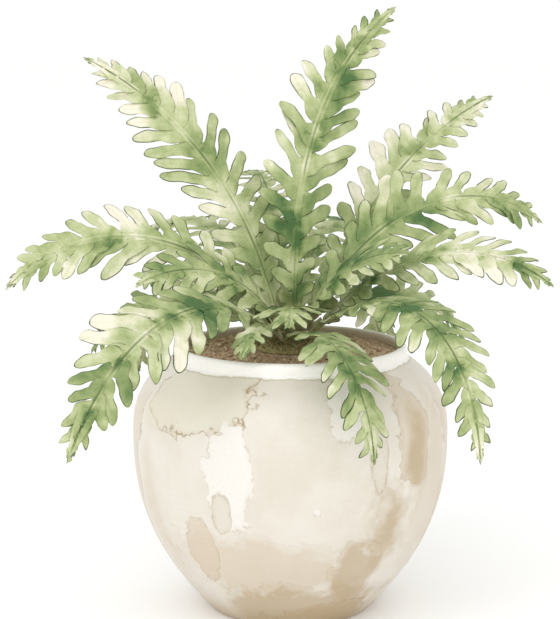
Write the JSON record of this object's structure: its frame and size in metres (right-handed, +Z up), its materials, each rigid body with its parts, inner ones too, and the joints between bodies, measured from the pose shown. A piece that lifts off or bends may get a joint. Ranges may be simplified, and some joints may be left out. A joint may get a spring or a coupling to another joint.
{
  "type": "potted fern",
  "caption": "Fern with arching, lobed fronds rising from one crown in a round-shouldered cream glazed pot filled with soil.",
  "frame": {"origin": "middle of the pot's flat base, on the surface that it stands on", "axes": "+Z up along the pot's axis; -Y is the front, where one frond hangs over the rim; +X is to the right seen from the front"},
  "size_m": [0.3434, 0.3663, 0.3889],
  "materials": {
    "pot_glaze": "satin",
    "potting_soil": "matte",
    "crown_fibre": "matte",
    "frond_green": "satin",
    "frond_sage": "satin"
  },
  "bodies": {
    "root": {"pot": "pot_glaze", "soil": "potting_soil", "crown": "crown_fibre", "frond_top": "frond_green", "frond_upper_left": "frond_sage", "frond_upper_right": "frond_sage", "frond_left": "frond_sage", "frond_right": "frond_green", "frond_right_low": "frond_sage", "frond_lower_left": "frond_green", "frond_lower_right": "frond_green", "frond_front": "frond_green", "frond_front_small": "frond_sage", "frond_back": "frond_green", "frond_back_left": "frond_green", "frond_back_right": "frond_green", "frond_low_back": "frond_green", "frond_low_back_left": "frond_green", "frond_low_back_right": "frond_green", "frond_low_left": "frond_green", "frond_low_right": "frond_green", "frond_inner_left": "frond_green", "frond_inner_right": "frond_green", "frond_inner_front": "frond_green"}
  },
  "joints": []
}
